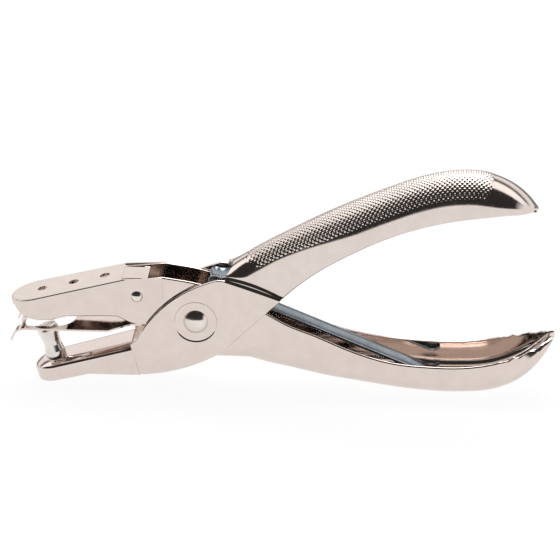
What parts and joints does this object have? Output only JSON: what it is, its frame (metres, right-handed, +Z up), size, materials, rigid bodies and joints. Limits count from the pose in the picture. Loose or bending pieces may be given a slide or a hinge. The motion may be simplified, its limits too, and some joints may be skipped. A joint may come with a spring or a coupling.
{
  "type": "hole punch",
  "caption": "Plier-style hand hole punch: two pressed steel levers on a rivet, a round punch below and a die, cover and paper guide above, opened by a leaf spring.",
  "frame": {"origin": "middle of the pivot rivet, on the mid-plane of the tool", "axes": "+X from the jaws towards the handle ends, +Z up with the knurled handle above, Y across the jaws"},
  "size_m": [0.1531, 0.0192, 0.0646],
  "materials": {
    "nickel_plate": "polished nickel plating",
    "knurled_plate": "polished nickel plating, cross-knurled on the back",
    "rivet_steel": "plated, satin",
    "tool_steel": "ground and plated",
    "spring_steel": "blue-grey spring strip"
  },
  "bodies": {
    "die_side": {"die_lever": "nickel_plate", "die": "tool_steel", "jaw_cover": "nickel_plate", "cross_pin": "rivet_steel", "paper_guide": "nickel_plate", "pivot_sleeve": "rivet_steel"},
    "punch_side": {"punch_lever": "knurled_plate", "punch_pin": "tool_steel", "punch_backing": "rivet_steel", "pivot_rivet": "rivet_steel", "rivet_washer": "rivet_steel", "return_spring": "spring_steel"}
  },
  "joints": [
    {"name": "pivot", "type": "hinge", "parent": "die_side", "child": "punch_side", "pos_m": [0, 0, 0], "axis": [0, 1, 0], "range_deg": [0, 12], "stiffness_Nm_per_rad": 1.5, "springref_deg": -5.73, "deforming": ["return_spring"]}
  ]
}
